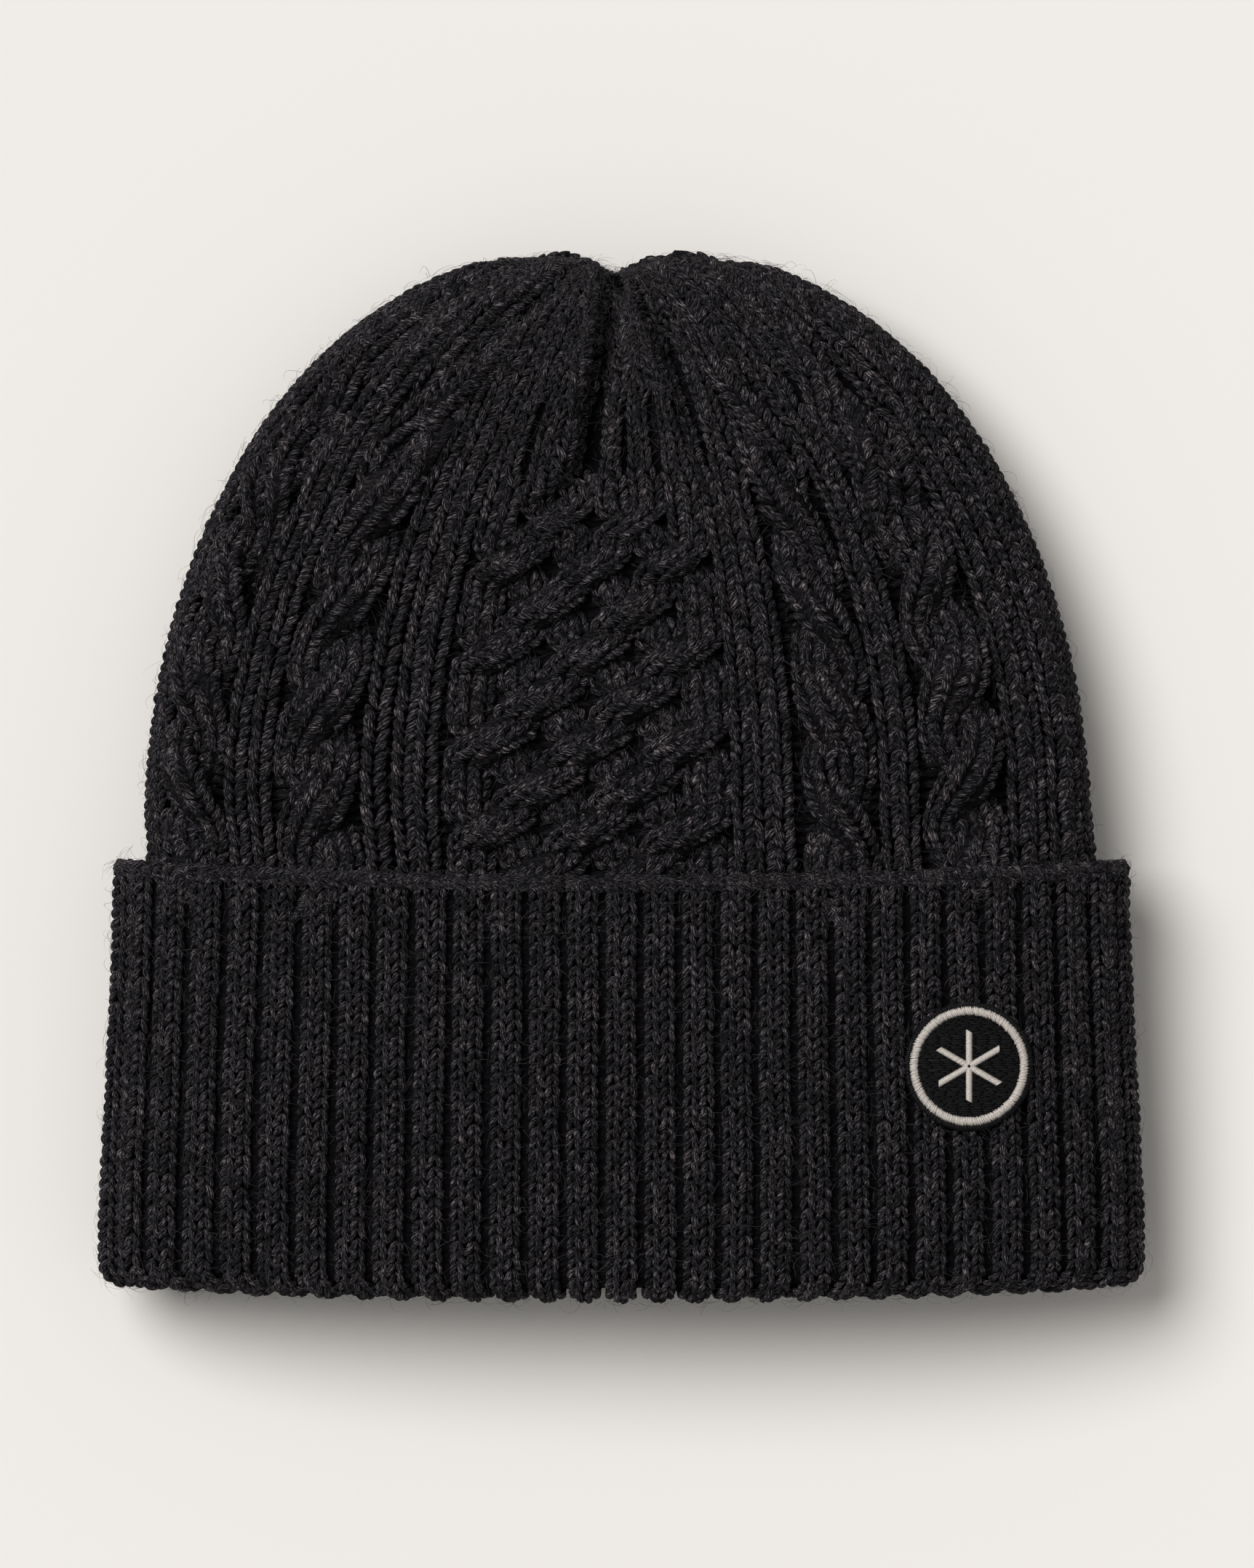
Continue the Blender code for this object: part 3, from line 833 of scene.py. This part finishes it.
def satin_material():
    """Blank woven satin: fine threads across, with the soft sheen of polyester."""
    made, tree = start_material("label satin", {
        "Roughness": 0.38, "Specular IOR Level": 0.5, "Anisotropic": 0.5, "Sheen Weight": 0.1})
    place = object_place(tree)
    weave = tree.nodes.new("ShaderNodeTexWave")
    weave.bands_direction = "Y"
    weave.inputs["Scale"].default_value = 900.0
    weave.inputs["Distortion"].default_value = 0.6
    tree.links.new(place, weave.inputs["Vector"])
    slubs = noise_of(tree, place, 260.0, 4.0, 0.6)
    colour = ramp_of(tree, weave.outputs["Fac"], ((0.2, (0.56, 0.54, 0.51)), (0.8, (0.72, 0.70, 0.67))))
    uneven = ramp_of(tree, slubs, ((0.3, (0.9, 0.9, 0.9)), (0.7, (1.05, 1.05, 1.05))))
    link_surface(tree, mixed(tree, "MULTIPLY", 1.0, colour, uneven), weave.outputs["Fac"], 0.5, 0.00008)
    return made


# ---- pieces

LOWEST_WALL = 0.6 * MM


def shell(name, sheet, rows, outer, inner, ceiling=1.0):
    """A closed wall that follows a sheet between two depths under it, given for each row. Its dark wool is
    painted shade between the stitches.
    """
    columns = 320
    around = np.repeat(np.linspace(-1, 1, columns, endpoint=False)[None], 2 * len(rows), axis=0)
    along = np.concatenate([rows, rows[::-1]])
    lift = np.concatenate([outer, inner[::-1]])[:, None, None]
    points, normals = sheet.places(np.repeat(along[:, None], columns, axis=1), around)
    points = (points + normals * lift).reshape(-1, 3)
    points[:, 2] = np.maximum(points[:, 2], LOWEST_WALL)
    points[:, 1] = np.minimum(points[:, 1], ceiling)
    return place_mesh(name, points, loft_faces(2 * len(rows), columns, loop=True), ground_wool_painted_shade)


wool = yarn_material("charcoal wool", CHARCOAL, CHARCOAL_FLECK, 0.04)
# Painted shade: the same wool, darker where it lies in the gutters and under the cables
shaded_wool = yarn_material("charcoal wool darkened as painted shade", SHADED, SHADED_FLECK, 0.0)
# Painted shade: a darker wool for the walls under the stitches, where the gaps lie in shade
ground_wool_painted_shade = plain_material("wool in the shade", (0.005, 0.0046, 0.0055), 1.0, 0.0)

cuff = Sheet([cuff_ring(y, depth) for y, depth in cuff_profile()], -1.0)
crown = make_crown_sheet()

RIBS = 58
RIB_PAIR = 0.216  # each wale of a pair lies this share of a repeat from the pair's middle
RIB_WALE = 3.75 * MM
RIB_ROLL = math.radians(27)


def lay_cuff():
    yarn = knitting("cuff_rib", "cuff_gutters", "rib_yarn")
    along = np.arange(2, cuff.count_along - 2, 1.0)
    y = cuff.at(along, np.zeros_like(along), cuff.points)[:, 1]
    outside = np.arange(len(along)) < len(along) * 0.5
    from_top = np.where(outside, CUFF_TOP_Y - y, 1.0)
    grooved = smooth_step((from_top - 1.5 * MM) / (3.5 * MM))
    shift = rng.normal(0, 0.012, (RIBS, 12))
    for rib in range(RIBS):
        middle = -0.5 + (rib + 0.5) * 2 / RIBS
        sway = np.interp(np.linspace(0, 11, len(along)), np.arange(12), shift[rib]) * 2 / RIBS
        for hand in BOTH_HANDS:
            spread = 0.25 - (0.25 - RIB_PAIR) * grooved
            around = middle + sway + hand * spread * 2 / RIBS
            lift = (-0.9 - 0.1 * grooved) * MM
            width = RIB_WALE - 0.25 * MM * grooved
            path = path_on(cuff, along, around, lift, width, -hand * RIB_ROLL * grooved)
            lay_stitches(yarn, path, LEG, BOTH_HANDS)
        # The purl stitch in each groove takes the gutters' yarn, darkened as painted shade
        path = path_on(cuff, along, middle + 1.0 / RIBS, -3.4 * MM + 1.2 * MM * (1 - grooved), 2.6 * MM)
        lay_stitches(yarn.gutters, path, BUMP, (1,), radius=YARN * 0.85)
        yarn.spill()
    chain = np.linspace(-1, 1, 1200)
    for place in (10.0, 12.5):
        path = path_on(cuff, np.full_like(chain, place), chain, -0.7 * MM, 2.7 * MM)
        lay_stitches(yarn, path, LEG, BOTH_HANDS, row=2.6 * MM, radius=YARN * 1.05)
    return knitted(yarn)


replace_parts(lay_cuff()[0], "turned_cuff", "cast_on_edge", "inner_band")
for side in ("crown_front", "crown_back"):
    yarn = knitting(side + "_knit", side + "_gutters", "crown_yarn")
    lay_crown(crown, yarn, side == "crown_back")
    pieces = knitted(yarn)
    if side == "crown_front":
        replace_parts(pieces[0], "crown_shell")

# The walls under the stitches are dark wool as painted shade, filling the gaps between the yarn
cuff_rows = np.concatenate([np.arange(1, 12, 2.0), np.arange(12, cuff.count_along - 2, 3.0)])
in_roll = smooth_step((cuff_rows - 11) / 5)
shell("cuff_ground", cuff, cuff_rows, -(1.0 + 2.3 * in_roll) * MM, -(1.5 + 2.7 * in_roll) * MM)
last_row = crown.count_along - 1
crown_rows = np.concatenate([np.arange(0, 12, 3.0), np.arange(12, last_row, 4.0), [last_row - 0.001]])
near_top = smooth_step((np.interp(crown_rows, np.arange(crown.count_along), crown.heights) - 0.66) / 0.12)
near_tip = smooth_step((crown_rows - (crown.count_along - 26)) / 16)
under_crown = (4.6 - 1.6 * near_top - 1.3 * near_tip) * MM
shell("crown_ground", crown, crown_rows, -under_crown, -under_crown - 0.8 * MM,
      ceiling=TIP_Y - 3 * MM)


# ---- the embroidered patch

PATCH_X, PATCH_Y = np.mean(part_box("patch_border"), axis=0)[:2]
RING_INSIDE, RING_OUTSIDE = 10.8 * MM, 12.5 * MM
PATCH_RADIUS = 13.0 * MM
STAR_ARM = 7.4 * MM
THREAD = 0.17 * MM  # radius of embroidery thread
OUTWARD = np.array([0.0, 0.0, 1.0])  # away from the table
FRONT = cuff.at(np.full(400, 70.0), np.linspace(-0.5, 0.5, 400), cuff.points)


def on_patch(x, y, lift):
    """A place on the patch, x and y from its middle, at a height over the ribs."""
    surface = np.interp(PATCH_X + x, FRONT[:, 0], FRONT[:, 2])
    return np.stack([PATCH_X + x, PATCH_Y + y, surface + lift], -1)


def threads(yarn, starts, ends, low, rise, radius=THREAD):
    """Straight satin stitches from start to end, arched, each a little uneven."""
    count = len(starts)
    place = np.linspace(0, 1, 6)
    flat = starts[:, None] + (ends - starts)[:, None] * place[None, :, None]
    arch = low + rise * np.sin(math.pi * place) ** 0.6 + rng.normal(0, 0.03 * MM, (count, 1))
    spine = on_patch(flat[..., 0], flat[..., 1], arch)
    thick = radius * (1 + rng.normal(0, 0.08, (count, 1))) * np.sin(math.pi * (0.2 + 0.6 * place)) ** 0.4
    length = np.linalg.norm(ends - starts, axis=1)[:, None] / MM
    sweep(yarn, spine, OUTWARD, thick, place * length, 1.0, 300)


def polar(radius, angle):
    return np.stack([radius * np.cos(angle), radius * np.sin(angle)], -1)


def radial_threads(yarn, count, inside, outside, slant, low, rise, radius=THREAD):
    angle = np.linspace(0, 2 * math.pi, count, endpoint=False) + rng.normal(0, 0.004, count)
    ragged = rng.normal(0, 0.07 * MM, (2, count))
    starts = polar(inside + ragged[0], angle)
    threads(yarn, starts, polar(outside + ragged[1], angle + slant), low, rise, radius)


def disc(name, radius, low, high, finish, node):
    """A thin round of cloth that follows the ribs' surface."""
    radii = np.linspace(0.02, 1, 14) * radius
    angle = np.linspace(0, 2 * math.pi, 72, endpoint=False)
    profile = [(reach, low) for reach in radii] + [(reach, high) for reach in radii[::-1]]
    points = [on_patch(*polar(reach, angle).T, height) for reach, height in profile]
    cloth = place_mesh(name, np.concatenate(points), loft_faces(len(profile), len(angle)), finish)
    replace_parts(cloth, node)


backing_felt = plain_material("backing felt", (0.004, 0.004, 0.0045), 1.0, 0.0)
twill = plain_material("twill", (0.0045, 0.0040, 0.0042), 0.9, 0.05, 1500.0)
cream_thread = thread_material("cream thread", (0.36, 0.325, 0.29), (0.66, 0.61, 0.56))
black_thread = thread_material("black thread", (0.0022, 0.0020, 0.0022), (0.0095, 0.0085, 0.009), 0.12, 0.6)

disc("patch_backing_felt", PATCH_RADIUS, -0.9 * MM, -0.1 * MM, backing_felt, "patch_backing")
disc("patch_ground", PATCH_RADIUS - 0.2 * MM, -0.1 * MM, 0.35 * MM, twill, "patch_twill")

ground_rows = Yarn("patch_ground_stitches", black_thread, "patch_twill")
starts, ends = [], []
for y in np.arange(-RING_INSIDE, RING_INSIDE, 0.36 * MM):
    reach = math.sqrt(max(RING_INSIDE ** 2 - y ** 2, 0))
    for x in np.arange(-reach - rng.uniform(0, 2.6) * MM, reach, 2.6 * MM):
        left, right = max(x, -reach), min(x + 2.45 * MM, reach)
        if right - left > 0.5 * MM:
            starts.append((left, y + rng.normal(0, 0.03) * MM))
            ends.append((right, y + rng.normal(0, 0.03) * MM))
threads(ground_rows, np.array(starts), np.array(ends), 0.36 * MM, 0.12 * MM, 0.19 * MM)
ground_rows.finish()

border = Yarn("patch_ring", cream_thread, "embroidery")
radial_threads(border, 250, RING_INSIDE, RING_OUTSIDE, 0.035, 0.45 * MM, 0.55 * MM)
radial_threads(border, 250, RING_INSIDE + 0.1 * MM, RING_OUTSIDE - 0.1 * MM, -0.02, 0.35 * MM, 0.45 * MM)
border.stand_for("patch_border")

edge = Yarn("patch_edge_thread", black_thread, "sewing_thread")
radial_threads(edge, 230, RING_OUTSIDE - 0.25 * MM, PATCH_RADIUS + 0.55 * MM, 0.02, 0.10 * MM, 0.30 * MM,
               0.22 * MM)
edge.stand_for("patch_thread")

star = Yarn("patch_star", cream_thread, "embroidery")
half = 0.62 * MM
for arm in range(6):
    angle = math.pi / 2 + arm * math.pi / 3
    out = np.arange(0.5, STAR_ARM / MM, 0.27) * MM
    line = polar(out, np.full_like(out, angle))
    across = np.array([-math.sin(angle), math.cos(angle)])
    lean = np.array([math.cos(angle), math.sin(angle)]) * 0.35 * MM
    threads(star, line - across * half - lean, line + across * half + lean, 0.62 * MM, 0.42 * MM)
star.stand_for("patch_motif")


# ---- closing yarn, seam and label

def dash_shape(rings):
    """One running stitch: out of the cloth, along it and back in."""
    place = np.linspace(0, 1, rings)
    return place, 0 * place, 0.1 + 0.8 * place, -(np.abs(2 * place - 1) ** 3.0) * 1.6, 0.8 + 0 * place


def lay_closing_yarn():
    low, high = np.array(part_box("closing_yarn"))
    middle = (low + high) / 2
    middle[1] = TIP_Y - DIMPLE - NOTCH + 0.6 * MM
    reach = (high[0] - low[0]) / 2 - 1.25 * MM
    turn = np.linspace(0, 2 * math.pi, 120)
    sway = 0.35 * MM * np.sin(turn * 3 + 0.4)
    points = np.stack([middle[0] + (reach + sway) * np.cos(turn), middle[1] + 0.4 * sway,
                       middle[2] + (reach - sway) * np.sin(turn)], -1)
    yarn = Yarn("closing_yarn_loop", wool, "crown_yarn")
    up = np.array([0.0, 1.0, 0.0])
    lay_stitches(yarn, Path(points, up, 1.5 * MM), LEG, BOTH_HANDS, row=2.0 * MM, radius=1.6 * MM)
    knot = middle + (points - middle) * 0.3 - up * 1.0 * MM
    lay_stitches(yarn, Path(knot, up, 1.5 * MM), LEG, BOTH_HANDS, row=1.6 * MM, radius=1.7 * MM)
    yarn.stand_for("closing_yarn")


def lay_back_seam():
    low, high = np.array(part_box("back_seam"))
    y = np.linspace(low[1] + MM, high[1] - MM, 240)
    clear = smooth_step((y - CUFF_TOP_Y) / CUFF_LINE_RISE)
    in_band = FOLD_DEPTH + 0.5 * MM
    in_crown = IN_CUFF * (1 - clear) + CROWN_WALL + 0.6 * MM
    past_band = smooth_step((y - (BAND_TOP_Y - 2 * MM)) / (6 * MM))
    z = in_band + (in_crown - in_band) * past_band
    points = np.stack([0.15 * MM * np.sin(y / (9 * MM)), y, z], -1)
    yarn = Yarn("back_seam_stitches", wool, "crown_yarn")
    lay_stitches(yarn, Path(points, OUTWARD, 2.1 * MM), BUMP, (1,), row=1.55 * MM, radius=1.25 * MM)
    yarn.stand_for("back_seam")


def lay_label():
    """The woven label: a ribbon with firm edges, a hem at its free end and a soft wave."""
    low, high = np.array(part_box("care_label"))
    u = np.linspace(0, 1, 56)[None, :]  # across the label
    v = np.linspace(0, 1, 90)[:, None]  # from its free end to its sewn edge
    edge = np.exp(-np.minimum(u, 1 - u) / 0.025) * 0.10 * MM
    hem = smooth_step((0.13 - v) / 0.02) * 0.14 * MM
    wave = 0.07 * MM * np.sin(u * 5.0 + v * 3.0) * (1 - v)
    x = low[0] + (high[0] - low[0]) * u + 0 * v
    y = low[1] + (high[1] - low[1]) * v + 0.12 * MM * np.sin(u * 9) * (1 - v)
    middle = (low[2] + high[2]) / 2 + wave
    top = np.stack([x, y, middle + 0.15 * MM + edge + hem], -1)
    bottom = np.stack([x, y, middle - 0.15 * MM - edge * 0.6 - hem * 0.4], -1)
    points = np.concatenate([top, bottom[:, ::-1]], axis=1)
    faces = loft_faces(*points.shape[:2])
    label = place_mesh("care_label_ribbon", points.reshape(-1, 3), faces, satin_material(),
                       body="label")
    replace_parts(label, "care_label")


def lay_label_stitches():
    low, high = np.array(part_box("label_stitches"))
    x = np.linspace(low[0] + 0.4 * MM, high[0] - 0.4 * MM, 60)
    z = np.full_like(x, high[2] - 0.3 * MM)
    yarn = Yarn("label_sewing", black_thread, "sewing_thread")
    for offset in (-0.25, 0.25):
        y = np.full_like(x, (low[1] + high[1]) / 2 + offset * MM)
        route = Path(np.stack([x, y, z], -1), OUTWARD, 0.6 * MM)
        lay_stitches(yarn, route, dash_shape(6), (1,), row=2.1 * MM, radius=0.5 * MM)
    yarn.stand_for("label_stitches")


lay_closing_yarn()
lay_back_seam()
lay_label()
lay_label_stitches()


# ---- fuzz

def lay_fuzz(name, sheet, rows, slot, count=2600):
    """Loose fibres that stand out of the yarn, thin curved hairs."""
    fuzz = Yarn(name, fibre, slot)
    along = rng.uniform(rows[0], rows[1], count)
    around = rng.uniform(-0.52, 0.52, count)
    points, normals = sheet.places(along, around)
    first = unit(np.cross(normals, OUTWARD + rng.normal(0, 0.1, (count, 3))))
    second = np.cross(normals, first)
    heading = rng.uniform(0, 2 * math.pi, count)[:, None]
    way = first * np.cos(heading) + second * np.sin(heading)
    aside = np.cross(normals, way)
    length = rng.uniform(1.2, 5.0, count)[:, None] * MM
    bend = rng.normal(0, 0.45, count)[:, None]
    rise = np.abs(rng.normal(0, 0.22, count))[:, None]
    base = points + normals * rng.uniform(-0.9, 0.1, count)[:, None] * MM
    place = np.linspace(0, 1, 6)
    spine = (base[:, None] + way[:, None] * (length * place)[..., None]
             + aside[:, None] * (length * bend * place ** 2)[..., None]
             + normals[:, None] * (length * rise * np.sin(math.pi * place * 0.8))[..., None])
    thick = (0.032 * MM * rng.uniform(0.6, 1.3, count))[:, None] * (1 - 0.6 * place)
    sweep(fuzz, spine, normals[:, None], thick, place, 1.0, 300, sides=4)
    fuzz.finish()


fibre = plain_material("loose fibre", (0.055, 0.052, 0.054), 0.8, 0.1)
for batch in range(2):
    lay_fuzz("cuff_fuzz_%d" % batch, cuff, (4, 128), "rib_yarn")
    lay_fuzz("crown_fuzz_%d" % batch, crown, (10, crown.count_along - 8), "crown_yarn")


# ---- floor, lights and camera

floor_mesh = bpy.data.meshes.new("floor")
floor_mesh.from_pydata([(-4, -4, 0), (4, -4, 0), (4, 4, 0), (-4, 4, 0)], [], [(0, 1, 2, 3)])
floor = add_object("floor", floor_mesh)
floor_finish, _ = start_material("floor", {
    "Base Color": (0.80, 0.772, 0.735, 1), "Roughness": 0.95, "Specular IOR Level": 0.0})
floor_mesh.materials.append(floor_finish)

TO_SUN = Vector((-0.42, 0.36, 0.83))
sun = bpy.data.lights.new("key", "SUN")
sun.angle = math.radians(36)  # as wide as a large soft panel
sun.energy = 2.76
add_object("key", sun).rotation_euler = (-TO_SUN).to_track_quat("-Z", "Y").to_euler()

world = bpy.data.worlds.new("world")
bpy.context.scene.world = world
world.use_nodes = True
world_tree = world.node_tree
sky = world_tree.nodes["Background"]
sky.inputs[0].default_value = (1, 0.99, 0.98, 1)
where = world_tree.nodes.new("ShaderNodeTexCoord")
split = world_tree.nodes.new("ShaderNodeSeparateXYZ")
overhead = world_tree.nodes.new("ShaderNodeMapRange")
overhead.inputs["To Min"].default_value = 0.12
overhead.inputs["To Max"].default_value = 0.48
world_tree.links.new(where.outputs["Generated"], split.inputs[0])
world_tree.links.new(split.outputs["Z"], overhead.inputs["Value"])
world_tree.links.new(overhead.outputs[0], sky.inputs["Strength"])

CAMERA_HEIGHT = 3.0
PICTURE_WIDTH = 265.5 * MM  # what the picture shows across, at the hat's middle height
camera_data = bpy.data.cameras.new("camera")
camera = add_object("camera", camera_data)
bpy.context.scene.camera = camera
camera.location = (0.0012, -0.0015, CAMERA_HEIGHT)
camera_data.sensor_fit = "HORIZONTAL"
camera_data.sensor_width = 36
camera_data.lens = 36 * (CAMERA_HEIGHT - 22 * MM) / PICTURE_WIDTH
bpy.context.scene.view_settings.view_transform = "Standard"
